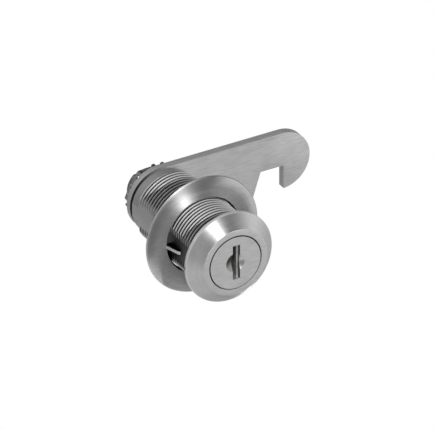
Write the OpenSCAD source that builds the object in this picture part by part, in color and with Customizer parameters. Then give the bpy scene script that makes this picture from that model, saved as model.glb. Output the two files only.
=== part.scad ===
// Furniture lock: a wafer cam lock with a hook cam, for a cabinet door or drawer.
// Millimetres. The lock's axis runs along Y, front towards -Y, X right, Z up.
// The origin is on the axis, where the head seats on the door's front face.
// Drawn locked, with the hook to the right and its mouth down, and the wafers as a key holds them.

/* [Head] */
// Outer diameter of the head
head_d = 22.5; // [21:0.1:26]
// Diameter of the head's flat front face
head_face_d = 16.6; // [15.4:0.1:17.6]
// Thickness of the straight rim behind the cone
head_rim = 0.8; // [0.5:0.05:2]
// Slope of the head's cone, from the flat face
cone_angle = 45; // [30:1:50]
// Chamfer on the head's rim
rim_chamfer = 0.15; // [0.05:0.05:0.3]

/* [Barrel] */
// Diameter over the barrel's thread
barrel_d = 18; // [17.4:0.1:19]
// Distance across the barrel's two flats
barrel_flats = 16; // [15.6:0.1:17]
// Length of the barrel behind the head
barrel_len = 28.7; // [27:0.1:40]
// Pitch of the barrel's thread
thread_pitch = 1; // [0.9:0.05:1.5]
// Depth of the barrel's thread
thread_depth = 0.6; // [0.4:0.05:0.65]
// Length of the smooth nose at the rear end
nose_len = 2.4; // [1.8:0.1:4]
// Diameter of the smooth nose
nose_d = 16.4; // [16:0.1:17]
// Chamfer on the nose's rear edge
nose_chamfer = 0.2; // [0.05:0.05:0.3]

/* [Plug] */
// Diameter of the plug where the wafers are
plug_d = 12.4; // [12:0.1:12.8]
// Diameter of the plug's front collar
collar_d = 13.5; // [13.2:0.1:14.2]
// Thickness of the front collar
collar_len = 1.5; // [1:0.1:2]
// Radial running clearance between the plug and the barrel
plug_clear = 0.05; // [0.02:0.01:0.09]
// Axial play of the plug
plug_play = 0.05; // [0.03:0.01:0.1]
// Turn of the plug between locked and open
turn_angle = 90; // [45:5:90]

/* [Keyhole] */
// Width of the key slot
slot_w = 1.4; // [1.2:0.1:1.7]
// Height of the key slot
slot_h = 8.7; // [7.4:0.1:9]
// Depth of the key slot from the front face
slot_depth = 24; // [23:0.5:27]
// How far the slot's entrance reaches past the slot on its right side
entry_w = 0.5; // [0.3:0.05:0.6]
// Depth of the wider entrance
entry_depth = 0.9; // [0.6:0.1:1.2]
// Diameter of the conical dish around the slot
dish_d = 4.9; // [4:0.1:6.2]
// Depth of the conical dish at its middle
dish_depth = 1.2; // [0.8:0.1:1.4]

/* [Wafers] */
// Distance from one wafer to the next
wafer_pitch = 2.3; // [2.2:0.05:2.6]
// Thickness of a wafer
wafer_t = 1; // [0.8:0.05:1.1]
// Width of a wafer
wafer_w = 5.6; // [5:0.1:5.8]
// Travel of a wafer into its groove
wafer_travel = 0.7; // [0.5:0.05:0.8]
// Distance from the seat to the first wafer
wafer_first = 1.2; // [1:0.1:2]
// Width of a wafer's spring foot
foot_w = 1.55; // [1.4:0.05:1.6]
// Height of a wafer's spring foot
foot_h = 1.1; // [0.9:0.1:1.3]
// Gap around a wafer in its slot, each side
wafer_clear = 0.05; // [0.03:0.01:0.1]
// Outer diameter of a wafer spring
spring_d = 1.3; // [1.1:0.05:1.4]
// Wire diameter of a wafer spring
spring_wire = 0.2; // [0.15:0.01:0.25]
// Number of turns of a wafer spring
spring_turns = 5; // [4:1:6]
// Length of a wafer spring at rest
spring_len = 3; // [2.8:0.1:3.1]

/* [Tail] */
// Diameter of the plug's threaded tail
tail_d = 9.6; // [9:0.1:10]
// Depth of the tail's thread
tail_thread_depth = 0.35; // [0.2:0.05:0.45]
// Distance across the tail's two flats
tail_flats = 7; // [6.4:0.1:8]
// Length of the tail that stands out of the nut
tail_out = 2.5; // [0.8:0.1:4]
// Gap between the tail and what it carries, each side
tail_clear = 0.05; // [0.03:0.01:0.1]

/* [Stop washer] */
// Thickness of the stop washer
stop_t = 1.2; // [1:0.1:1.6]
// Diameter of the stop washer
stop_d = 13.8; // [13.4:0.1:14]
// Gap that the stop washer keeps between the barrel and the cam
stop_gap = 0.4; // [0.3:0.05:0.6]
// Angle that the stop tab takes up
stop_tab_angle = 24; // [16:1:30]

/* [Cam] */
// Width of the cam
cam_w = 16; // [15:0.1:18]
// Thickness of the cam
cam_t = 2; // [1.5:0.1:3]
// Distance from the axis to the centre of the hook's round end
hook_x = 31.4; // [29:0.1:40]
// Radius of the hook's round end
hook_r = 7.2; // [7:0.1:7.8]
// Width of the hook's mouth where it is narrowest
mouth_w = 6; // [5.4:0.1:6.6]
// Height of the mouth's top edge below the axis
mouth_drop = 0.45; // [0.2:0.05:1]
// Lean of the mouth's sloping side
mouth_lean = 18; // [5:1:22]
// Distance from the hook's straight inner edge to its centre
hook_edge = 0.4; // [0.2:0.1:1]

/* [Rear fastening] */
// Diameter over the toothed washer's teeth
lock_washer_d = 17.2; // [16.4:0.1:18]
// Diameter of the toothed washer's ring
lock_ring_d = 13.2; // [12.6:0.1:14]
// Thickness of the toothed washer's sheet
lock_washer_t = 0.5; // [0.4:0.05:0.7]
// Number of teeth
lock_teeth = 20; // [14:1:24]
// Twist of each tooth
tooth_twist = 26; // [12:1:30]
// Angle of the first tooth from the right
first_tooth = 5; // [0:1:18]
// Distance across the nut's flats
nut_flats = 12; // [11.6:0.1:14]
// Thickness of the nut
nut_t = 2.2; // [1.8:0.1:4]

/* [Rosette] */
// Outer diameter of the rosette
rosette_d = 29; // [27:0.1:34]
// Distance from the seat to the rosette's front, at its bore
rosette_y = 10.75; // [4:0.25:12]
// Thickness of the rosette at its bore
rosette_t = 0.8; // [0.7:0.05:1.2]
// Fall of the rosette's front face from the bore to its rounded edge
rosette_fall = 0.25; // [0.05:0.05:0.3]
// Gap between the rosette and the barrel
rosette_clear = 0.45; // [0.3:0.05:0.6]
// Gap between the rosette and the barrel's flat
flat_clear = 0.1; // [0.05:0.05:0.2]
// Length of the rosette's tongue along the barrel
tongue_len = 4; // [3:0.1:5]
// Height of the tongue
tongue_h = 0.9; // [0.6:0.1:1.5]

/* [Hidden] */
$fn = 96;

eps = 0.01;

// Head: the cone runs from the flat face to the rim
cone_depth = (head_d - head_face_d) / 2 * tan(cone_angle);
head_front = -(cone_depth + head_rim);

// Barrel: the thread runs up to the nose
nose_front = barrel_len - nose_len;
thread_start = 0.25;
thread_end = nose_front - (barrel_d - nose_d) / 2;
thread_turns = floor((thread_end - thread_start) / thread_pitch);
crest_share = 0.12;

// Bore and the plug inside it
bore_r = plug_d / 2 + plug_clear;
collar_bore_r = collar_d / 2 + plug_clear;
collar_rear = head_front + collar_len;

// Barrel's rear end, the recess for the stop washer, and what follows it along the axis
cam_front = barrel_len + stop_gap;
cam_rear = cam_front + cam_t;
stop_front = cam_front - stop_t;
recess_floor = stop_front - plug_play * 2;
recess_r = stop_d / 2 + plug_clear;
tab_r = nose_d / 2 - 0.3;
tab_start = -90 - stop_tab_angle / 2;
tab_gap_angle = 1;
tooth_w = PI * lock_washer_d / lock_teeth / 2.4;
tooth_gap = 0.02;
washer_half_t = (tooth_w * sin(tooth_twist) + lock_washer_t * cos(tooth_twist)) / 2 + tooth_gap;
lock_mid = cam_rear + washer_half_t;
nut_front = lock_mid + washer_half_t;
nut_rear = nut_front + nut_t;
tail_end = nut_rear + tail_out;
tail_chamfer = 0.3;
tail_pitch = 0.75;
tail_turns = floor((tail_end - tail_chamfer - nut_front) / tail_pitch);

// Wafers: grooves in the bore, and the pocket in the plug for the foot and its spring
wafer_r = plug_d / 2 - 0.05;
groove_reach = wafer_r + wafer_travel + 0.15;
groove_w = wafer_w + 0.2;
wafer_slot_w = wafer_w + 2 * wafer_clear;
wafer_slot_t = wafer_t + 2 * wafer_clear;
foot_x = wafer_w / 2;
foot_bottom = -0.9;
foot_top = foot_bottom + foot_h;
pocket_x = foot_x + foot_w / 2;
pocket_r = spring_d / 2 + 0.1;
pocket_floor = foot_bottom - spring_len;
window_w = slot_w + 0.6;
window_h = slot_h - 2 * wafer_travel;
wafer_side = [0, 180];
function wafer_y(i) = wafer_first + wafer_t / 2 + (i - 1) * wafer_pitch;
function wafer_turn(i) = wafer_side[(i + 1) % 2];
grooves_front = wafer_first - 0.5;
grooves_rear = wafer_y(7) + wafer_t / 2 + 0.5;

// A solid of revolution about Y, from a profile of [radius, y] points
module turned(profile) {
    rotate([90, 0, 0]) mirror([0, 0, 1]) rotate_extrude() polygon(profile);
}

// Ring grooves of a thread's size and pitch, as points of a turned profile
function grooves(r, depth, start, pitch, count) = [for (i = [0:count - 1]) each [
    [r, start + i * pitch],
    [r, start + (i + crest_share) * pitch],
    [r - depth, start + (i + (1 + crest_share) / 2) * pitch]
]];

// A round bar or bore along Y
module rod(r, y0, y1) {
    translate([0, y0, 0]) rotate([-90, 0, 0]) cylinder(r = r, h = y1 - y0);
}

// A flat outline drawn in X and Z, made solid from y0 to y1
module plate(y0, y1) {
    translate([0, y1, 0]) rotate([90, 0, 0]) linear_extrude(y1 - y0) children();
}

// A sector of a disc in X and Z, from one angle over another
module sector(r, start, sweep) {
    steps = 12;
    far = r / cos(sweep / steps / 2);
    polygon(concat([[0, 0]], [for (i = [0:steps])
        [far * cos(start + sweep * i / steps), far * sin(start + sweep * i / steps)]]));
}

// A round bar with two flats, as the tail and the holes that fit it
module double_d(d, flats) {
    intersection() {
        circle(d = d);
        square([d + 1, flats], center = true);
    }
}

module housing() {
    color("silver")
    difference() {
        union() {
            turned([
                [0, head_front], [head_face_d / 2, head_front], [head_d / 2, -head_rim],
                [head_d / 2, -rim_chamfer], [head_d / 2 - rim_chamfer, 0], [0, 0]
            ]);
            intersection() {
                turned(concat(
                    [[0, -eps], [barrel_d / 2, -eps]],
                    grooves(barrel_d / 2, thread_depth, thread_start, thread_pitch, thread_turns),
                    [
                        [barrel_d / 2, thread_end], [nose_d / 2, nose_front],
                        [nose_d / 2, barrel_len - nose_chamfer],
                        [nose_d / 2 - nose_chamfer, barrel_len], [0, barrel_len]
                    ]
                ));
                plate(-1, barrel_len + 1) square([barrel_flats, barrel_d + 2], center = true);
            }
        }
        rod(bore_r, head_front - 1, barrel_len + 1);
        rod(collar_bore_r, head_front - 1, collar_rear + plug_play);
        rod(recess_r, recess_floor, barrel_len + 1);
        // Window in the nose for the stop tab, with a degree to spare at each end
        plate(recess_floor, barrel_len + 1)
            sector(nose_d, tab_start - tab_gap_angle, stop_tab_angle + turn_angle + 2 * tab_gap_angle);
        // Grooves for the wafers, at the locked and the open position
        for (a = [0, turn_angle]) rotate([0, -a, 0])
            translate([-groove_w / 2, grooves_front, -groove_reach])
                cube([groove_w, grooves_rear - grooves_front, 2 * groove_reach]);
    }
}

module wafer_slot(i) {
    translate([0, wafer_y(i), 0]) rotate([0, wafer_turn(i), 0]) {
        translate([-wafer_slot_w / 2, -wafer_slot_t / 2, -plug_d])
            cube([wafer_slot_w, wafer_slot_t, 2 * plug_d]);
        translate([0, -wafer_slot_t / 2, foot_bottom - 0.1])
            cube([foot_x + foot_w + wafer_clear, wafer_slot_t, foot_h + wafer_travel + 0.25]);
        translate([pocket_x, 0, pocket_floor]) cylinder(r = pocket_r, h = foot_top - pocket_floor);
    }
}

module plug() {
    color("gainsboro")
    difference() {
        union() {
            turned([
                [0, head_front], [collar_d / 2 - 0.1, head_front], [collar_d / 2, head_front + 0.1],
                [collar_d / 2, collar_rear], [plug_d / 2, collar_rear], [plug_d / 2, stop_front],
                [0, stop_front]
            ]);
            intersection() {
                turned(concat(
                    [[0, stop_front - eps], [tail_d / 2, stop_front - eps]],
                    grooves(tail_d / 2, tail_thread_depth, nut_front, tail_pitch, tail_turns),
                    [
                        [tail_d / 2, tail_end - tail_chamfer], [tail_d / 2 - tail_chamfer, tail_end],
                        [0, tail_end]
                    ]
                ));
                plate(stop_front - 1, tail_end + 1)
                    square([tail_d + 1, tail_flats], center = true);
            }
        }
        // Key slot, with its wider entrance
        translate([-slot_w / 2, head_front - 1, -slot_h / 2])
            cube([slot_w, slot_depth + 1, slot_h]);
        translate([-slot_w / 2, head_front - 1, -slot_h / 2])
            cube([slot_w + entry_w, entry_depth + 1, slot_h]);
        // Conical dish around the slot
        turned([[0, head_front - eps], [dish_d / 2, head_front - eps], [0, head_front + dish_depth]]);
        for (i = [1:7]) wafer_slot(i);
    }
}

// Wafer: a plate with round ends, a window for the key and a foot for its spring
module wafer(i) {
    color("goldenrod")
    translate([0, wafer_y(i), 0]) rotate([0, wafer_turn(i), 0])
    plate(-wafer_t / 2, wafer_t / 2)
    difference() {
        union() {
            intersection() {
                circle(r = wafer_r);
                square([wafer_w, 3 * wafer_r], center = true);
            }
            translate([foot_x - eps, foot_bottom]) square([foot_w + eps, foot_h]);
        }
        square([window_w, window_h], center = true);
    }
}

// Wafer spring: a coil of round wire, upright in the pocket under the wafer's foot
module wafer_spring(i) {
    color("gray")
    translate([0, wafer_y(i), 0]) rotate([0, wafer_turn(i), 0])
    translate([pocket_x, 0, pocket_floor + spring_wire / 2])
    coil(spring_d / 2 - spring_wire / 2, spring_wire / 2, spring_turns, spring_len - spring_wire);
}

// A helix of wire: rings of six corners, joined along the coil
module coil(r, wire_r, turns, rise) {
    sides = 6;
    per_turn = 14;
    count = turns * per_turn;
    points = [for (i = [0:count]) for (j = [0:sides - 1])
        let (a = 360 * i / per_turn, b = 360 * j / sides)
        [(r + wire_r * cos(b)) * cos(a), (r + wire_r * cos(b)) * sin(a),
            rise * i / count + wire_r * sin(b)]];
    walls = [for (i = [0:count - 1]) for (j = [0:sides - 1])
        let (k = (j + 1) % sides)
        [i * sides + j, i * sides + k, (i + 1) * sides + k, (i + 1) * sides + j]];
    first = [for (j = [sides - 1:-1:0]) j];
    last = [for (j = [0:sides - 1]) count * sides + j];
    polyhedron(points, concat([first], [last], walls), convexity = 8);
}

// Stop washer: keyed on the tail, its tab turns in the window of the barrel's nose
module stop_washer() {
    color("darkgray")
    plate(stop_front, cam_front)
    difference() {
        union() {
            circle(d = stop_d);
            intersection() {
                circle(r = tab_r);
                sector(tab_r, tab_start, stop_tab_angle);
            }
        }
        double_d(tail_d + 2 * tail_clear, tail_flats + 2 * tail_clear);
    }
}

// Cam: a flat arm with a hook, its mouth open downwards when locked
module cam() {
    mouth_right = hook_x + hook_edge;
    mouth_left = mouth_right - mouth_w;
    low = -cam_w;
    color("silver")
    plate(cam_front, cam_rear)
    difference() {
        union() {
            circle(d = cam_w);
            translate([0, -cam_w / 2]) square([hook_x, cam_w]);
            translate([hook_x, cam_w / 2 - hook_r]) circle(r = hook_r);
        }
        polygon([
            [mouth_left, -mouth_drop], [mouth_right, -mouth_drop], [mouth_right, low],
            [mouth_left - (-mouth_drop - low) * tan(mouth_lean), low]
        ]);
        double_d(tail_d + 2 * tail_clear, tail_flats + 2 * tail_clear);
    }
}

// Toothed washer: a flat ring with twisted teeth that bite the cam and the nut
module toothed_washer() {
    root_x = lock_ring_d / 2 - 0.3;
    tooth_len = lock_washer_d / 2 - root_x;
    color("dimgray")
    difference() {
        union() {
            rod(lock_ring_d / 2, lock_mid - lock_washer_t / 2, lock_mid + lock_washer_t / 2);
            for (i = [0:lock_teeth - 1]) rotate([0, -first_tooth - i * 360 / lock_teeth, 0])
                translate([root_x, lock_mid, 0]) rotate([tooth_twist, 0, 0])
                    plate(-lock_washer_t / 2, lock_washer_t / 2)
                        translate([0, -tooth_w / 2]) square([tooth_len, tooth_w]);
        }
        rod(tail_d / 2 + tail_clear, cam_rear - 1, nut_rear);
    }
}

// Nut that clamps the cam on the tail, its corners turned down at both faces
module cam_nut() {
    corner_slope = 18;
    face_r = nut_flats / 2 - 0.15;
    outer_r = nut_flats / sqrt(3) + 0.3;
    fall = (outer_r - face_r) * tan(corner_slope);
    color("silver")
    difference() {
        intersection() {
            rod_hex(nut_flats, nut_front, nut_rear);
            turned([
                [0, nut_front], [face_r, nut_front], [outer_r, nut_front + fall],
                [outer_r, nut_rear - fall], [face_r, nut_rear], [0, nut_rear]
            ]);
        }
        rod(tail_d / 2 + tail_clear, nut_front - 1, nut_rear + 1);
    }
}

// A hexagonal bar along Y, with its flats up and down
module rod_hex(flats, y0, y1) {
    r = flats / sqrt(3);
    plate(y0, y1) polygon([for (i = [0:5]) [r * cos(60 * i), r * sin(60 * i)]]);
}

// Rosette: a thin round washer that slides on the barrel
// Below the axis its bore follows one flat, and a sprung tongue reaches forward along that flat
module rosette() {
    rear = rosette_y + rosette_t;
    bore_rim = barrel_d / 2 + rosette_clear;
    edge_r = rosette_d / 2;
    flat_x = barrel_flats / 2 + flat_clear;
    tip_x = flat_x + 0.05;
    color("silver")
    union() {
        difference() {
            turned([
                [0, rosette_y], [bore_rim, rosette_y],
                [edge_r - 0.45, rosette_y + rosette_fall],
                [edge_r, rosette_y + rosette_fall + 0.3], [edge_r, rear], [0, rear]
            ]);
            difference() {
                rod(bore_rim, rosette_y - 1, rear + 1);
                translate([-2 * edge_r, rosette_y - 2, -edge_r])
                    cube([2 * edge_r - flat_x, rosette_t + 4, edge_r]);
            }
        }
        translate([0, 0, -tongue_h]) linear_extrude(tongue_h) polygon([
            [-bore_rim - 0.4, rosette_y + 0.2], [-bore_rim - 0.1, rosette_y - 0.6],
            [-tip_x - 0.6, rosette_y - tongue_len + 0.3], [-tip_x - 0.15, rosette_y - tongue_len],
            [-tip_x, rosette_y - tongue_len + 0.4], [-tip_x, rosette_y - tongue_len + 1.2],
            [-bore_rim + 0.7, rosette_y + 0.2]
        ]);
    }
}

housing();
plug();
wafer(1);  // wafer_1
wafer(2);  // wafer_2
wafer(3);  // wafer_3
wafer(4);  // wafer_4
wafer(5);  // wafer_5
wafer(6);  // wafer_6
wafer(7);  // wafer_7
wafer_spring(1);  // wafer_spring_1
wafer_spring(2);  // wafer_spring_2
wafer_spring(3);  // wafer_spring_3
wafer_spring(4);  // wafer_spring_4
wafer_spring(5);  // wafer_spring_5
wafer_spring(6);  // wafer_spring_6
wafer_spring(7);  // wafer_spring_7
stop_washer();
cam();
toothed_washer();
cam_nut();
rosette();
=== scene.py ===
"""Looks of the furniture lock: threaded housing, turned rosette, stamped hook cam, brushed metal, soft light.

Metres, in the lock's own frame: the axis along Y, front towards -Y, X right, Z up.
"""

import math

import bpy
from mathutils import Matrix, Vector


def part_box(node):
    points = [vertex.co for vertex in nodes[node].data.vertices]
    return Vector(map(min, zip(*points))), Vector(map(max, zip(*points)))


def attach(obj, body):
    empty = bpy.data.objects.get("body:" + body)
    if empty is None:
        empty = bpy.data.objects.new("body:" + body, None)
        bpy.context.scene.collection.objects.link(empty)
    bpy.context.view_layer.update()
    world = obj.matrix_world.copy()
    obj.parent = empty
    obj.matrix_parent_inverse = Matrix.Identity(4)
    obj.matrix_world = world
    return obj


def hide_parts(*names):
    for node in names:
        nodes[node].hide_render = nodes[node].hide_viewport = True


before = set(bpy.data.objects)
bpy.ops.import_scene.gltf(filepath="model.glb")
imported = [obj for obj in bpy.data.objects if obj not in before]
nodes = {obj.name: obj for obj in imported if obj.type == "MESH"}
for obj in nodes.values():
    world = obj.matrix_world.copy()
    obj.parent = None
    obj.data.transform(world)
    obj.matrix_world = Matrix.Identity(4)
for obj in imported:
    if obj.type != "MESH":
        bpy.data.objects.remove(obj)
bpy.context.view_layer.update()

MM = 0.001

# Sizes of the lock, in millimetres, as the frame has them
HOUSING_LOW, HOUSING_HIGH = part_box("housing")
HEAD_R = HOUSING_HIGH.x / MM
HEAD_FRONT = HOUSING_LOW.y / MM
BARREL_END = HOUSING_HIGH.y / MM
HEAD_FACE_R = 8.3
HEAD_RIM = 0.8
BARREL_R = 9.0
BARREL_FLAT = 8.0
THREAD_PITCH = 1.0
THREAD_ROOT_R = 8.4
NOSE_R = 8.2
NOSE_LEN = 2.4
NOSE_START = BARREL_END - NOSE_LEN
BORE_R = 6.25
COLLAR_BORE_R = 6.8
COLLAR_DEPTH = 1.55
STOP_RECESS_R = 6.95
STOP_RECESS_DEPTH = 0.9
STOP_WINDOW_START, STOP_WINDOW_END = -103, 13
GROOVE_REACH, GROOVE_W = 7.0, 5.8
GROOVES_FRONT, GROOVES_REAR = 0.7, 16.5
TAIL_HOLE_R, TAIL_HOLE_FLAT = 4.85, 3.55
PLUG_R = 6.75
DISH_R = 2.45
WAFERS = 7

_, ROSETTE_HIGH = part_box("rosette")
ROSETTE_R = ROSETTE_HIGH.x / MM
ROSETTE_REAR = ROSETTE_HIGH.y / MM
ROSETTE_T = 0.8
ROSETTE_FRONT = ROSETTE_REAR - ROSETTE_T
ROSETTE_FALL = 0.25
ROSETTE_BORE_R = 9.45
ROSETTE_REAR_BORE_R = 9.12

CAM_LOW, CAM_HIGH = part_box("cam")
CAM_FRONT, CAM_REAR = CAM_LOW.y / MM, CAM_HIGH.y / MM
HUB_R = CAM_HIGH.z / MM
CAM_REACH = CAM_HIGH.x / MM
HOOK_R = 7.2
MOUTH_W, MOUTH_TOP, MOUTH_LEAN = 6, -0.45, 18

NUT_LOW, NUT_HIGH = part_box("cam_nut")
WASHER_LOW, WASHER_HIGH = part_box("toothed_washer")

# A turned tool keeps a thin hole on its axis, and a cutting tool passes its piece by this much
HOLLOW = 0.5
PAST = 1


def deselect():
    """Nothing selected, so that the next operator acts on its own object only."""
    if bpy.context.object and bpy.context.object.mode != "OBJECT":
        bpy.ops.object.mode_set(mode="OBJECT")
    bpy.ops.object.select_all(action="DESELECT")


def pick(piece):
    """The piece alone is selected and active."""
    deselect()
    piece.select_set(True)
    bpy.context.view_layer.objects.active = piece


def open_mesh(piece):
    """Edit mode on this piece, with all of its mesh selected."""
    pick(piece)
    bpy.ops.object.mode_set(mode="EDIT")
    bpy.ops.mesh.select_all(action="SELECT")


def close_mesh():
    bpy.ops.object.mode_set(mode="OBJECT")


def extrude(step):
    """Extrudes what is selected by a step in millimetres."""
    bpy.ops.mesh.extrude_region_move(TRANSFORM_OT_translate={"value": [c * MM for c in step]})


def settle(piece, name):
    """Names the piece and moves its place, turn and scale into its mesh."""
    pick(piece)
    piece.name = name
    piece.data.name = name
    bpy.ops.object.transform_apply(location=True, rotation=True, scale=True)
    return piece


def clean(piece):
    """Merges doubles and points every face outwards."""
    open_mesh(piece)
    bpy.ops.mesh.remove_doubles(threshold=1e-7)
    bpy.ops.mesh.normals_make_consistent(inside=False)
    close_mesh()
    return piece


def turned(name, profile, steps=128):
    """A solid turned about Y: a circle extruded ring by ring along [radius, y] points, in millimetres."""
    deselect()
    r, y = profile[0]
    bpy.ops.mesh.primitive_circle_add(vertices=steps, radius=r * MM, location=(0, y * MM, 0),
                                      rotation=(math.pi / 2, 0, 0))
    piece = settle(bpy.context.object, name)
    open_mesh(piece)
    for next_r, next_y in profile[1:] + [profile[0]]:
        extrude((0, next_y - y, 0))
        bpy.ops.transform.resize(value=(next_r / r, 1, next_r / r), center_override=(0, next_y * MM, 0))
        r, y = next_r, next_y
    close_mesh()
    return clean(piece)


def round_bar(name, r, y0, y1, steps=128):
    """A plain cylinder along Y, in millimetres."""
    deselect()
    bpy.ops.mesh.primitive_cylinder_add(vertices=steps, radius=r * MM, depth=(y1 - y0) * MM,
                                        location=(0, (y0 + y1) / 2 * MM, 0), rotation=(math.pi / 2, 0, 0))
    return settle(bpy.context.object, name)


def block(name, low, high):
    """A box between two corners, in millimetres."""
    deselect()
    centre = [(a + b) / 2 * MM for a, b in zip(low, high)]
    bpy.ops.mesh.primitive_cube_add(size=1, location=centre)
    piece = bpy.context.object
    piece.scale = [(b - a) * MM for a, b in zip(low, high)]
    return settle(piece, name)


def drawn(name, points):
    """A line of edges: one vertex, extruded from point to point, in millimetres."""
    deselect()
    bpy.ops.mesh.primitive_plane_add(size=MM, location=[c * MM for c in points[0]])
    line = settle(bpy.context.object, name)
    open_mesh(line)
    bpy.ops.mesh.merge(type="CENTER")
    for here, there in zip(points, points[1:]):
        extrude([b - a for a, b in zip(here, there)])
    close_mesh()
    return line


def stretched(name, outline, way):
    """A flat outline of [x, y, z] points, filled and extruded one way, in millimetres."""
    piece = drawn(name, outline)
    open_mesh(piece)
    bpy.ops.mesh.edge_face_add()
    bpy.ops.mesh.select_all(action="SELECT")
    extrude(way)
    close_mesh()
    return clean(piece)


def plate(name, outline, y0, y1):
    """A flat outline of [x, z] points, made solid from y0 to y1, in millimetres."""
    return stretched(name, [(x, y0, z) for x, z in outline], (0, y1 - y0, 0))


def on_circle(radius, degrees):
    """The [x, z] point at this angle about the axis, from X towards Z."""
    return [radius * math.cos(math.radians(degrees)), radius * math.sin(math.radians(degrees))]


def turn_mesh(piece, degrees, axis, centre=(0, 0, 0)):
    """Turns the piece's mesh about a line through a point in millimetres, right-handed about the axis."""
    open_mesh(piece)
    bpy.ops.transform.rotate(value=math.radians(degrees), orient_axis=axis,
                             center_override=[c * MM for c in centre])
    close_mesh()
    return piece


def combine(piece, tool, operation):
    """Adds, cuts or keeps the common part of another solid, which is then removed. The result is closed."""
    pick(piece)
    cut = piece.modifiers.new("cut", "BOOLEAN")
    cut.operation = operation
    cut.object = tool
    cut.solver = "EXACT"
    bpy.ops.object.modifier_apply(modifier=cut.name)
    bpy.data.objects.remove(tool)
    return clean(piece)


def soften(piece, width, segments=2, angle=40):
    """Rounds the piece's edges that are sharper than the angle by a small width, in millimetres."""
    pick(piece)
    edge = piece.modifiers.new("edge", "BEVEL")
    edge.width = width * MM
    edge.segments = segments
    edge.limit_method = "ANGLE"
    edge.angle_limit = math.radians(angle)
    edge.harden_normals = False
    bpy.ops.object.modifier_apply(modifier=edge.name)
    return piece


def slice_off(piece, point, way):
    """Cuts the piece with a plane, drops what lies beyond it and closes the cut."""
    open_mesh(piece)
    bpy.ops.mesh.bisect(plane_co=[c * MM for c in point], plane_no=way, clear_outer=True, threshold=1e-8)
    bpy.ops.mesh.select_all(action="SELECT")
    bpy.ops.mesh.fill_holes(sides=0)
    close_mesh()
    return piece


def shade(piece, angle=28):
    """Smooth shading, with edges sharper than the angle kept."""
    pick(piece)
    bpy.ops.object.shade_smooth_by_angle(angle=math.radians(angle))
    return piece


def threaded_rod(name, crest_r, root_r, pitch, y0, y1, steps=96):
    """A rod with a helical thread: one tooth's profile, screwed along Y and cut square at both ends."""
    crest, root, lead_in = pitch * 0.12, pitch * 0.2, pitch * 1.43
    flank = (pitch - crest - root) / 2
    profile = [(root_r, 0), (root_r, root), (crest_r, root + flank), (crest_r, root + flank + crest),
               (root_r, pitch)]
    rod = drawn(name, [(r, y0 - lead_in + y, 0) for r, y in profile])
    pick(rod)
    helix = rod.modifiers.new("helix", "SCREW")
    helix.axis = "Y"
    helix.steps = steps
    helix.render_steps = steps
    helix.iterations = math.ceil((y1 - y0) / pitch) + 2
    helix.screw_offset = pitch * MM
    bpy.ops.object.modifier_apply(modifier=helix.name)
    clean(rod)
    slice_off(rod, (0, y0, 0), (0, -1, 0))
    slice_off(rod, (0, y1, 0), (0, 1, 0))
    return clean(rod)


def make_housing():
    """Head, threaded and flatted barrel and smooth nose, with the bore, stop recess and wafer grooves."""
    sunk, overlap, window_steps = 0.3, 0.5, 12
    nose_hollow, head_hollow, core = HOLLOW - 0.1, HOLLOW - 0.05, HOLLOW - 0.2
    taper_start = NOSE_START - (BARREL_R - NOSE_R)
    body = threaded_rod("housing_body", BARREL_R, THREAD_ROOT_R, THREAD_PITCH, -sunk, taper_start + overlap)
    combine(body, turned("end_taper", [
        [HOLLOW, -PAST], [BARREL_R + PAST, -PAST], [BARREL_R + PAST, taper_start - 1.0],
        [NOSE_R - 0.06, NOSE_START - 0.25], [HOLLOW, NOSE_START - 0.25]]), "INTERSECT")
    nose = turned("nose", [
        [nose_hollow, taper_start - overlap], [NOSE_R, taper_start - overlap], [NOSE_R, BARREL_END - 0.2],
        [NOSE_R - 0.06, BARREL_END - 0.06], [NOSE_R - 0.2, BARREL_END], [nose_hollow, BARREL_END]])
    combine(body, nose, "UNION")
    slice_off(body, (BARREL_FLAT, 0, 0), (1, 0, 0))
    slice_off(body, (-BARREL_FLAT, 0, 0), (-1, 0, 0))
    cone_end = -HEAD_RIM
    head = turned("head", [
        [head_hollow, 0], [head_hollow, HEAD_FRONT], [HEAD_FACE_R - 0.12, HEAD_FRONT],
        [HEAD_FACE_R + 0.02, HEAD_FRONT + 0.04], [HEAD_FACE_R + 0.12, HEAD_FRONT + 0.12],
        [HEAD_R - 0.3, cone_end - 0.3], [HEAD_R - 0.12, cone_end - 0.1], [HEAD_R - 0.03, cone_end + 0.06],
        [HEAD_R, cone_end + 0.22], [HEAD_R, -0.14], [HEAD_R - 0.05, -0.04], [HEAD_R - 0.14, 0]], steps=160)
    combine(body, head, "UNION")
    collar_floor, recess_floor = HEAD_FRONT + COLLAR_DEPTH, BARREL_END - STOP_RECESS_DEPTH
    combine(body, turned("bore", [
        [core, HEAD_FRONT - overlap], [COLLAR_BORE_R + 0.54, HEAD_FRONT - overlap],
        [COLLAR_BORE_R, HEAD_FRONT + 0.04], [COLLAR_BORE_R, collar_floor], [BORE_R, collar_floor],
        [BORE_R, recess_floor], [STOP_RECESS_R, recess_floor], [STOP_RECESS_R, BARREL_END + overlap],
        [core, BARREL_END + overlap]]), "DIFFERENCE")
    sweep = (STOP_WINDOW_END - STOP_WINDOW_START) / window_steps
    window = [[0, 0]] + [on_circle(12, STOP_WINDOW_START + sweep * i) for i in range(window_steps + 1)]
    combine(body, plate("window", window, recess_floor, BARREL_END + PAST), "DIFFERENCE")
    half = GROOVE_W / 2
    for name, across, along in (("grooves_up", half, GROOVE_REACH), ("grooves_side", GROOVE_REACH, half)):
        groove = block(name, (-across, GROOVES_FRONT, -along), (across, GROOVES_REAR, along))
        combine(body, groove, "DIFFERENCE")
    shade(body)
    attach(body, "housing")
    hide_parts("housing")
    return body


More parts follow.
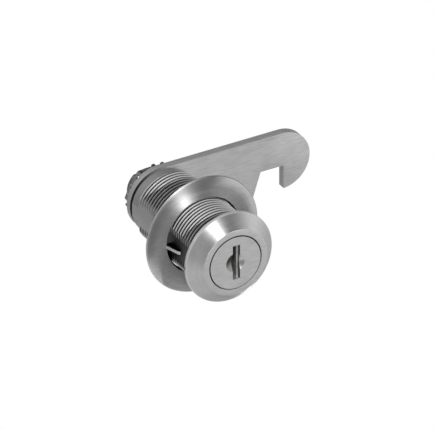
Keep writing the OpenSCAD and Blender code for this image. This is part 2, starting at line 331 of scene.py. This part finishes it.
def make_rosette():
    """Thin turned washer: rounded rim, a straight bore edge below the axis and a tongue along the flat."""
    r, rear, front, brow = ROSETTE_R, ROSETTE_REAR, ROSETTE_FRONT, ROSETTE_FRONT + ROSETTE_FALL
    ring = turned("rosette_ring", [
        [ROSETTE_BORE_R, front + 0.06], [ROSETTE_BORE_R + 0.06, front], [r - 0.45, brow],
        [r - 0.2, brow + 0.06], [r - 0.05, brow + 0.18], [r, brow + 0.32], [r, rear - 0.08],
        [r - 0.08, rear], [ROSETTE_REAR_BORE_R, rear], [ROSETTE_REAR_BORE_R, rear - 0.15]], steps=160)
    side = -(BARREL_FLAT + 0.1)
    lip_r, lip_steps = ROSETTE_BORE_R + 0.3, 8
    reach = math.degrees(math.acos(-side / lip_r)) / lip_steps
    lip = [[side, 0]] + [on_circle(lip_r, 180 + reach * i) for i in range(lip_steps, -1, -1)]
    combine(ring, plate("lip", lip, front + 0.02, rear), "UNION")
    top, thick, tip = -0.1, 0.78, front - 4
    plan = [[-ROSETTE_BORE_R - 0.2, front + 0.2], [-ROSETTE_BORE_R + 0.1, front - 0.5],
            [side - 0.45, tip + 0.5], [side - 0.1, tip], [side - 0.03, tip + 0.4], [side - 0.03, tip + 1.2],
            [-ROSETTE_BORE_R + 0.7, front + 0.2]]
    combine(ring, stretched("tongue", [(x, y, top - thick) for x, y in plan], (0, 0, thick)), "UNION")
    shade(ring)
    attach(ring, "rosette")
    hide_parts("rosette")
    return ring


def make_cam():
    """Stamped arm with its hook: hub, arm and round end joined, mouth and tail hole cut, edges softened."""
    hook_x, hook_z = CAM_REACH - HOOK_R, HUB_R - HOOK_R
    arm = round_bar("cam_arm", HUB_R, CAM_FRONT, CAM_REAR)
    combine(arm, block("bar", (0, CAM_FRONT, -HUB_R), (hook_x, CAM_REAR, HUB_R)), "UNION")
    end = round_bar("end", HOOK_R, CAM_FRONT, CAM_REAR)
    end.location = (hook_x * MM, 0, hook_z * MM)
    combine(arm, settle(end, "end"), "UNION")
    right, below = hook_x + 0.4, -2 * HUB_R
    left = right - MOUTH_W
    lean = (below - MOUTH_TOP) * math.tan(math.radians(MOUTH_LEAN))
    mouth = [[left, MOUTH_TOP], [right, MOUTH_TOP], [right, below], [left + lean, below]]
    combine(arm, plate("mouth", mouth, CAM_FRONT - PAST, CAM_REAR + PAST), "DIFFERENCE")
    hole = round_bar("hole", TAIL_HOLE_R, CAM_FRONT - PAST, CAM_REAR + PAST)
    flats = block("flats", (-6, CAM_FRONT - 2, -TAIL_HOLE_FLAT), (6, CAM_REAR + 2, TAIL_HOLE_FLAT))
    combine(arm, combine(hole, flats, "INTERSECT"), "DIFFERENCE")
    shade(soften(arm, 0.16))
    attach(arm, "plug")
    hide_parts("cam")
    return arm


def make_toothed_washer():
    """Lock washer: a flat ring with twisted teeth, one modelled and turned into the others."""
    middle = (WASHER_LOW.y + WASHER_HIGH.y) / 2 / MM
    bore_r, ring_r, root, tip = 5.0, 6.6, 6.2, 7.85
    teeth, first, twist = 20, 5, 26
    shift = (-0.1, 0, 0.32)
    front, rear = middle - 0.25, middle + 0.25
    ring = turned("washer_ring", [[bore_r, front], [ring_r, front], [ring_r, rear], [bore_r, rear]])
    outline = [[root, -0.6], [tip - 0.3, -0.5], [tip, -0.2], [tip, 0.2], [tip - 0.3, 0.5], [root, 0.6]]
    tooth = soften(plate("tooth", outline, front, rear), 0.05, segments=1)
    turn_mesh(tooth, twist, "X", (0, middle, 0))
    turn_mesh(tooth, first, "Y")
    crown = [tooth]
    for number in range(1, teeth):
        copy = tooth.copy()
        copy.data = tooth.data.copy()
        bpy.context.collection.objects.link(copy)
        crown.append(turn_mesh(copy, 360 / teeth * number, "Y"))
    pick(tooth)
    for piece in crown:
        piece.select_set(True)
    bpy.ops.object.join()
    combine(ring, tooth, "UNION")
    pick(ring)
    bpy.ops.transform.translate(value=[c * MM for c in shift])
    shade(settle(ring, "washer_ring"))
    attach(ring, "plug")
    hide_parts("toothed_washer")
    return ring


def make_nut():
    """Hexagonal nut with chamfered corners."""
    front, rear = NUT_LOW.y / MM, NUT_HIGH.y / MM
    flats = (NUT_HIGH.z - NUT_LOW.z) / MM
    corner = flats / math.sqrt(3)
    nut = plate("nut_body", [on_circle(corner, 60 * i) for i in range(6)], front, rear)
    face_r, outer_r, fall = flats / 2 - 0.15, corner + 0.3, 0.45
    combine(nut, turned("nut_corners", [
        [HOLLOW, front], [face_r, front], [outer_r, front + fall], [outer_r, rear - fall],
        [face_r, rear], [HOLLOW, rear]]), "INTERSECT")
    combine(nut, round_bar("nut_bore", TAIL_HOLE_R, front - PAST, rear + PAST), "DIFFERENCE")
    shade(soften(nut, 0.1))
    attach(nut, "plug")
    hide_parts("cam_nut")
    return nut


class Value:
    """A socket's value, on which Python's own signs add Math nodes."""

    def __init__(self, tree, socket):
        self.tree = tree
        self.socket = socket

    def math(self, operation, *others):
        step = self.tree.nodes.new("ShaderNodeMath")
        step.operation = operation
        for slot, value in zip(step.inputs, (self,) + others):
            join(self.tree, value, slot)
        return Value(self.tree, step.outputs[0])

    def __add__(self, other):
        return self.math("ADD", other)

    __radd__ = __add__

    def __mul__(self, other):
        return self.math("MULTIPLY", other)

    __rmul__ = __mul__

    def __sub__(self, other):
        return self.math("SUBTRACT", other)

    def __rsub__(self, other):
        return (self * -1) + other

    def __pow__(self, other):
        return self.math("POWER", other)

    def root(self):
        return self.math("SQRT")

    def at_least(self, other):
        return self.math("MAXIMUM", other)

    def at_most(self, other):
        return self.math("MINIMUM", other)

    def rise(self, low, high):
        """A soft step from 0 at low to 1 at high, or down where low is above high."""
        step = ((self - low) * (1 / (high - low))).at_least(0).at_most(1)
        return step * step * (3 - 2 * step)


def join(tree, value, socket):
    """Sets a socket to a number, a colour or another node's output."""
    if isinstance(value, Value):
        tree.links.new(value.socket, socket)
    else:
        socket.default_value = value


class Recipe:
    """A node tree that is filled node by node."""

    def __init__(self, tree):
        self.tree = tree
        tree.nodes.clear()

    def node(self, kind, settings=None, inputs=None, output=0):
        """Adds a node: its settings first, then its sockets, and gives back one output."""
        made = self.tree.nodes.new(kind)
        for key, value in (settings or {}).items():
            setattr(made, key, value)
        for key, value in (inputs or {}).items():
            join(self.tree, value, made.inputs[key])
        return Value(self.tree, made.outputs[output]) if made.outputs else None

    def place(self):
        """Object coordinates in millimetres, whole and as x, y and z."""
        where = self.node("ShaderNodeTexCoord", output="Object")
        mm = self.node("ShaderNodeVectorMath", {"operation": "SCALE"}, {0: where, "Scale": 1 / MM})
        split = self.node("ShaderNodeSeparateXYZ", inputs={0: mm})
        return mm, [Value(self.tree, out) for out in split.socket.node.outputs]

    def vector(self, x, y, z):
        return self.node("ShaderNodeCombineXYZ", inputs={0: x, 1: y, 2: z})

    def noise(self, vector, scale, detail, rough):
        return self.node("ShaderNodeTexNoise", inputs={
            "Vector": vector, "Scale": scale, "Detail": detail, "Roughness": rough})

    def tint(self, factor, dark, light):
        """A colour between two colours."""
        return self.node("ShaderNodeMix", {"data_type": "RGBA"}, {0: factor, 6: dark, 7: light}, output=2)

    def shut_in(self, distance):
        """1 in the open, down to 0 where faces within this many millimetres shut the spot in."""
        return self.node("ShaderNodeAmbientOcclusion", {"samples": 8}, {"Distance": distance * MM}, "AO")

    def principled(self, inputs):
        return self.node("ShaderNodeBsdfPrincipled", inputs=inputs)

    def mixed(self, factor, first, second):
        """The first shader where the factor is 0, and the second where it is 1."""
        return self.node("ShaderNodeMixShader", inputs={0: factor, 1: first, 2: second})

    def ray(self, kind):
        """1 for light rays of this kind, and 0 for all others."""
        return self.node("ShaderNodeLightPath", output=kind)

    def surface(self, shader):
        self.node("ShaderNodeOutputMaterial", inputs={"Surface": shader})


def new_recipe(name):
    """A new material of that name, with an empty recipe."""
    material = bpy.data.materials.new(name)
    material.use_nodes = True
    return material, Recipe(material.node_tree)


def grey(colour, factor=1.0):
    """A colour with its alpha, darkened or lightened."""
    return (*[min(1.0, c * factor) for c in colour], 1.0)


def from_axis(x, z):
    """How far a point lies from the lock's axis."""
    return (x * x + z * z).root()


# Brushing: how long its lines are, how rough their noise, and how strong their contrast
LINE_STRETCH, LINE_ROUGH, LINE_CONTRAST = 0.3, 0.65, 2.5
RING_TURN, RING_SHARE = 0.8, 0.4
SPECK_SCALE, CLOUD_SCALE = 9.0, 0.35
LINE_SHARE, SPECK_SHARE, CLOUD_SHARE = 0.6, 0.15, 0.25
LINE_HEIGHT, BUMP_DEPTH = 0.7, 0.03
SPECK_ROUGHNESS, SATIN_ROUGHNESS, LEAST_ROUGHNESS = 0.04, 0.7, 0.05
# How much of the colour is left by the painted shade in crevices, and by the marks
CREVICE_SHADE_LEFT, MARK_LEFT = 0.02, 0.04
QUARTER_TURN = 0.25


def metal(name, colour, roughness, variation=0.08, streak=0.1, streak_scale=5.0, bump=0.1,
          turned_finish=0.0, satin=None, crevice_shade=None, marks=None):
    """Plated metal, brushed along X, or turned in circles about Y and stretched by turned_finish.

    satin gives the share of satin over a turned finish, from the place.
    The crevice setting gives how far, in millimetres, crevices look for a neighbour, and how strongly their
    painted shade darkens them.
    marks takes the place and the roughness, and gives a colour factor and a roughness of its own."""
    material, recipe = new_recipe(name)
    mm, (x, y, z) = recipe.place()
    along = recipe.vector(x * LINE_STRETCH, y * streak_scale, z * streak_scale)
    lines = recipe.noise(along, 1.0, 3, LINE_ROUGH)
    if turned_finish:
        angle = z.math("ARCTAN2", x)
        about = recipe.vector(from_axis(x, z) * streak_scale, angle * RING_TURN, y * streak_scale)
        rings = recipe.noise(about, 1.0, 3, LINE_ROUGH)
        lines = rings * RING_SHARE + lines * (1 - RING_SHARE)
    lines = ((lines - 0.5) * LINE_CONTRAST + 0.5).at_least(0).at_most(1)
    speck = recipe.noise(mm, SPECK_SCALE, 2, 0.6)
    cloud = recipe.noise(mm, CLOUD_SCALE, 2, 0.5)
    wear = lines * LINE_SHARE + speck * SPECK_SHARE + cloud * CLOUD_SHARE
    base = recipe.tint(wear, grey(colour, 1 - variation), grey(colour, 1 + variation))
    rough = (lines - 0.5) * streak + (speck - 0.5) * SPECK_ROUGHNESS + roughness
    # Painted shade: the colour darkens where ambient occlusion finds faces close by
    if crevice_shade:
        reach, power = crevice_shade
        base = recipe.tint(recipe.shut_in(reach) ** power, grey(colour, CREVICE_SHADE_LEFT), base)
    # The marks darken the colour; most of them are painted shade
    if marks:
        clear, rough = marks(x, y, z, rough)
        base = recipe.tint(clear, grey(colour, MARK_LEFT), base)
    height = lines * LINE_HEIGHT + speck * (1 - LINE_HEIGHT)
    normal = recipe.node("ShaderNodeBump", inputs={
        "Strength": bump, "Distance": BUMP_DEPTH * MM, "Height": height})
    inputs = {"Base Color": base, "Roughness": rough.at_least(LEAST_ROUGHNESS), "Metallic": 1.0,
              "Normal": normal}
    if not turned_finish:
        recipe.surface(recipe.principled(inputs))
        return material
    shiny = recipe.principled({
        **inputs, "Anisotropic": turned_finish, "Anisotropic Rotation": QUARTER_TURN,
        "Tangent": recipe.node("ShaderNodeTangent", {"direction_type": "RADIAL", "axis": "Y"})})
    if satin:
        plain = recipe.principled({**inputs, "Roughness": SATIN_ROUGHNESS})
        shiny = recipe.mixed(satin(x, z), shiny, plain)
    recipe.surface(shiny)
    return material


def dress(piece, *materials):
    """The piece wears these materials, the first of them all over."""
    piece.data.materials.clear()
    for material in materials:
        piece.data.materials.append(material)


def paint_faces(piece, material, rule):
    """Faces that meet the rule take this material. The rule reads centre and normal, in millimetres."""
    number = piece.data.materials.find(material.name)
    for face in piece.data.polygons:
        if rule(face.center / MM, face.normal):
            face.material_index = number


WHITE = (1, 1, 1, 1)
SUN_FROM, SUN_STRENGTH, SUN_WIDTH = (-0.04, -0.87, 0.48), 2.1, 1.5
STUDIO_LEAST = 0.02
SOFTBOX_SHARPNESS = 9
# Where each soft area lies, and how bright it is
SOFTBOXES = [
    [(0.95, -0.21, 0.25), 1.6],
    [(0.8, -0.37, -0.47), 0.8],
    [(-0.82, -0.48, 0.31), 0.88],
    [(-0.87, -0.28, -0.42), 0.92],
    [(-0.29, 0.27, 0.92), 1.6],
    [(-0.16, 0.17, -0.97), 1.2],
    [(0.61, -0.39, 0.69), 0.33],
    [(-0.33, 0.78, -0.53), 0.24],
    [(0.21, -0.93, -0.31), 0.18],
    [(-0.62, 0.72, 0.3), 0.7],
    [(-0.6, -0.35, -0.7), 0.65],
    [(0.6, 0.5, -0.62), 0.85],
    [(0.1, 0.98, 0.05), 0.6],
]


def make_light():
    """A front lamp above the axis, and a studio of soft bright and dark areas all round."""
    deselect()
    sun_from = Vector(SUN_FROM).normalized()
    bpy.ops.object.light_add(type="SUN", location=sun_from * 0.5)
    lamp = bpy.context.object
    lamp.name = "front_lamp"
    lamp.rotation_euler = (-sun_from).to_track_quat("-Z", "Y").to_euler()
    lamp.data.energy = SUN_STRENGTH
    lamp.data.angle = math.radians(SUN_WIDTH)

    world = bpy.data.worlds.new("studio")
    bpy.context.scene.world = world
    world.use_nodes = True
    recipe = Recipe(world.node_tree)
    direction = recipe.node("ShaderNodeTexCoord", output="Generated")
    glow = []
    for toward, strength in SOFTBOXES:
        along = recipe.node("ShaderNodeVectorMath", {"operation": "DOT_PRODUCT"},
                            {0: direction, 1: Vector(toward).normalized()}, output="Value")
        glow.append(((along - 1) * SOFTBOX_SHARPNESS).math("EXPONENT") * strength)
    level = sum(glow).at_least(STUDIO_LEAST)
    studio = recipe.node("ShaderNodeBackground", inputs={"Color": WHITE, "Strength": level})
    white = recipe.node("ShaderNodeBackground", inputs={"Color": WHITE, "Strength": 1.0})
    both = recipe.mixed(recipe.ray("Is Camera Ray"), studio, white)
    recipe.node("ShaderNodeOutputWorld", inputs={"Surface": both})


def make_floor():
    """A pale patch of floor, seen behind the lock, that camera and metal see as plain white."""
    deselect()
    middle, radius = (0.131, 0.224, -0.15), 0.17
    bpy.ops.mesh.primitive_circle_add(vertices=64, radius=radius, fill_type="NGON", location=middle)
    floor = settle(bpy.context.object, "floor")
    material, recipe = new_recipe("pale_floor")
    plain = recipe.node("ShaderNodeBsdfDiffuse", inputs={"Color": (0.85, 0.85, 0.85, 1)})
    white = recipe.node("ShaderNodeEmission", inputs={"Color": WHITE, "Strength": 1.0})
    shown = recipe.ray("Is Camera Ray").at_least(recipe.ray("Is Glossy Ray"))
    recipe.surface(recipe.mixed(shown, plain, white))
    dress(floor, material)


def make_camera():
    """The photograph's view: no perspective, from the front left and above."""
    photo_width, pixels_per_mm = 434, 4.44
    shift_right, shift_up, distance = -4.17, 10.72, 0.4
    to_camera = Vector((-0.4372, -0.7463, 0.5019)).normalized()
    right = Vector((0.8629, -0.5054, 0)).normalized()
    up = to_camera.cross(right)
    aim = (Vector((0, HEAD_FRONT, 0)) + right * shift_right + up * shift_up) * MM
    bpy.ops.object.camera_add(location=aim + to_camera * distance)
    camera = bpy.context.object
    camera.name = "camera"
    camera.data.type = "ORTHO"
    camera.data.ortho_scale = photo_width / pixels_per_mm * MM
    camera.data.clip_start = 0.01
    camera.data.clip_end = 10
    camera.rotation_euler = (-to_camera).to_track_quat("-Z", "Y").to_euler()
    bpy.context.scene.camera = camera


# How dark each mark is, where 1 leaves almost nothing of the colour; all but the tail's are painted shade
GROOVE_SHADE, BAND_SHADE, RIM_SHADE, FLAT_DARK = 0.94, 0.33, 0.45, 0.6
THIN_RING_DARK, SLOT_DARK, SLOT_END_DARK, WALL_DARK, TAIL_DARK = 0.6, 0.85, 0.15, 0.85, 0.7
POLISHED_ROUGHNESS = 0.33
LOWER_RIGHT = (0.64, -0.77)
THREAD_END = 25.5


# Places in the marks are in millimetres, and each mask goes from its first place to its second
def barrel_shade_marks(x, y, z, rough):
    """Painted shade in the thread's grooves, but not beside the flats' upper edge, and in a ring round the
    plug.
    """
    radius = from_axis(x, z)
    clean_strip = 3.3 + y.rise(10.0, 13.0)
    above_flat = (z - clean_strip).rise(0, 0.7)
    below_flat = z.rise(-2.4, -2.6)
    on_barrel = y.rise(0.0, 0.1) * y.rise(THREAD_END + 0.3, THREAD_END)
    groove = radius.rise(BARREL_R - 0.06, THREAD_ROOT_R + 0.22) * above_flat.at_least(below_flat) * on_barrel
    plug_ring_shade = radius.rise(COLLAR_BORE_R + 0.06, COLLAR_BORE_R + 0.01)
    return (1 - groove * GROOVE_SHADE) * (1 - plug_ring_shade), rough


def toward_lower_right(x, z):
    """How far a point of the rosette lies from the axis towards the lower right."""
    return x * LOWER_RIGHT[0] + z * LOWER_RIGHT[1]


def rosette_satin(x, z):
    """Satin towards the rim, less so at the upper left."""
    return from_axis(x, z).rise(11.5, 14.2) * (toward_lower_right(x, z).rise(-9.0, -5.5) * 0.85 + 0.15)


def rosette_shade_marks(x, y, z, rough):
    """Painted shade: the rosette is a little darker before its rim at the upper left, and along its rim at
    the right.
    """
    radius = from_axis(x, z)
    upper_left = toward_lower_right(x, z).rise(-3.5, -9.0)
    shade_band = radius.rise(11.0, 13.5) * radius.rise(14.35, 14.25) * upper_left * BAND_SHADE
    right_rim_shade = radius.rise(14.2, 14.35) * x.rise(-2.0, 3.0) * RIM_SHADE
    return (1 - shade_band) * (1 - right_rim_shade), rough


def flat_marks(x, y, z, rough):
    """Darker between the head and the rosette, where the flat sees little light."""
    return 1 - y.rise(ROSETTE_REAR + 3.0, ROSETTE_REAR + 1.0) * FLAT_DARK, rough


def plug_marks(x, y, z, rough):
    """Painted shade in the key slot, in the dish's upper left, on the slot's right entry wall and in the ring
    round the plug; the tail darker steel; a part of the dish and the tail more polished.
    """
    radius = from_axis(x, z)
    collar = y.rise(HEAD_FRONT + 2.0, HEAD_FRONT + 1.5)
    # Painted shade in the ring round the plug, wider at the upper left, where the collar's edge shades it
    shadow_side = (z * 0.9 - x * 0.45).rise(-7.5, -1.0)
    wide_ring = radius.rise(PLUG_R - 0.3, PLUG_R - 0.18) * shadow_side
    thin_ring = radius.rise(PLUG_R - 0.14, PLUG_R - 0.08) * THIN_RING_DARK
    ring = wide_ring.at_least(thin_ring) * collar

    # Painted shade deep in the key slot, in the dish's upper left and on the slot's right entry wall
    in_plug = y.rise(HEAD_FRONT + 1.0, HEAD_FRONT + 2.5) * y.rise(20.0, 19.0)
    slot = in_plug * radius.rise(PLUG_R - 0.6, PLUG_R - 0.7)
    slot_shade = (slot * z.rise(-1.2, 0.6) * SLOT_DARK).at_least(slot * SLOT_END_DARK)

    dish = radius.rise(DISH_R + 0.05, DISH_R) * y.rise(HEAD_FRONT + 0.005, HEAD_FRONT + 0.02) * collar
    dish_shade = dish * x.rise(-0.5, -0.8) * ((z * 0.8 - x * 0.3).rise(-0.8, 1.2) * 0.5 + 0.45)
    behind_face = y.rise(HEAD_FRONT + 0.02, HEAD_FRONT + 0.08) * collar
    entry_wall = x.rise(1.14, 1.18) * x.rise(1.26, 1.22) * behind_face * WALL_DARK
    glint = dish * x.rise(0.9, 1.2) * z.rise(0.5, -0.4)

    tail = y.rise(CAM_FRONT + 2.2, CAM_FRONT + 2.4)
    dark = slot_shade.at_least(dish_shade).at_least(entry_wall).at_least(tail * TAIL_DARK)
    polished = glint.at_least(tail)
    return (1 - ring) * (1 - dark), rough * (1 - polished) + polished * POLISHED_ROUGHNESS


def cam_shade_marks(x, y, z, rough):
    """Painted shade on the front of the hub and its rim's front edge, seen in the narrow gap behind the
    barrel, fading out to the right.
    """
    hub = from_axis(x, z).rise(HUB_R + 0.15, HUB_R + 0.05)
    face = y.rise(CAM_FRONT + 0.55, CAM_FRONT + 0.45)
    return 1 - hub * x.rise(4.0, -7.0) * face, rough


def plain_grey(level):
    return (level, level, level)


bpy.context.scene.view_settings.view_transform = "Standard"

housing = make_housing()
rosette = make_rosette()
cam = make_cam()
nut = make_nut()
toothed_washer = make_toothed_washer()

NICKEL = plain_grey(0.66)
BRUSHED = 0.64
# The head, barrel and flats carry painted shade: in crevices, in the thread's grooves and round the plug
brushed_nickel = metal("brushed_nickel", NICKEL, BRUSHED, 0.26, streak_scale=8.0, marks=barrel_shade_marks)
turned_nickel = metal("turned_nickel", NICKEL, 0.47, 0.35, turned_finish=0.95)
thread_finish = metal("thread_finish", plain_grey(0.63), 0.6, crevice_shade=(1.0, 1.0), marks=barrel_shade_marks)
flat_finish = metal("milled_flat", plain_grey(0.56), 0.38, crevice_shade=(9, 3.5), marks=flat_marks)
inner_painted_shade = metal("inner_painted_shade", plain_grey(0.3), 0.6)
nose_finish = metal("nose_finish", plain_grey(0.37), 0.6)
dress(housing, brushed_nickel, turned_nickel, thread_finish, flat_finish, inner_painted_shade, nose_finish)
paint_faces(housing, nose_finish, lambda c, n: c.y > NOSE_START and c.xz.length > NOSE_R - 0.3)
paint_faces(housing, thread_finish, lambda c, n: 0.01 < c.y < NOSE_START + 0.01)
paint_faces(housing, flat_finish, lambda c, n: abs(n.x) > 0.999 and abs(c.x) > BARREL_FLAT - 0.01)
paint_faces(housing, turned_nickel,
            lambda c, n: HEAD_FRONT + 0.03 < c.y < -HEAD_RIM - 0.1 and c.xz.length > 8)
# Inward faces of the bore: painted shade, a darker copy of the metal
paint_faces(housing, inner_painted_shade, lambda c, n: c.xz.length < COLLAR_BORE_R + 0.3 and c.xz.dot(n.xz) < -0.01)

rosette_finish = metal("rosette_finish", NICKEL, 0.6, 0.35, turned_finish=0.95, satin=rosette_satin,
                       marks=rosette_shade_marks)
tongue_finish = metal("tongue_finish", plain_grey(0.56), 0.55)
# Painted shade: near black on the rosette's bore wall and on the upward faces of the tongue and lip
bore_painted_shade = metal("bore_painted_shade", plain_grey(0.01), 0.9)
dress(rosette, rosette_finish, tongue_finish, bore_painted_shade)
paint_faces(rosette, tongue_finish, lambda c, n: c.y < ROSETTE_FRONT - 0.05)
paint_faces(rosette, bore_painted_shade, lambda c, n: c.y < ROSETTE_FRONT - 0.05 and n.z > 0.7)
paint_faces(rosette, bore_painted_shade, lambda c, n: (
    c.xz.length < ROSETTE_BORE_R + 0.04 and c.xz.dot(n.xz) < 0.01 and c.y > ROSETTE_FRONT))

cam_finish = metal("cam_finish", NICKEL, BRUSHED, 0.28, streak_scale=8.0, marks=cam_shade_marks)
# Painted shade: the cam's edges are a darker copy of its finish
cam_edge_shade = metal("cam_edge_shade", plain_grey(0.47), BRUSHED, 0.15, marks=cam_shade_marks)
dress(cam, cam_finish, cam_edge_shade)
paint_faces(cam, cam_edge_shade, lambda c, n: abs(n.y) < 0.5)

dress(nut, metal("nut_finish", plain_grey(0.22), 0.14, streak=0.05, bump=0.05))
dress(toothed_washer, metal("spring_steel", plain_grey(0.22), 0.2, streak=0.05))
dress(nodes["plug"], metal("plug_finish", NICKEL, BRUSHED, 0.26, streak_scale=8.0, marks=plug_marks))
# Painted shade: the stop washer is darker than the plated parts, so the gap between the nose and the cam
# looks dark
dress(nodes["stop_washer"], metal("stop_shade", plain_grey(0.3), 0.5))
brass = metal("brass", (0.66, 0.53, 0.3), 0.4)
wire = metal("spring_wire", (0.5, 0.5, 0.51), 0.35)
for number in range(1, WAFERS + 1):
    dress(nodes[f"wafer_{number}"], brass)
    dress(nodes[f"wafer_spring_{number}"], wire)

make_light()
make_floor()
make_camera()
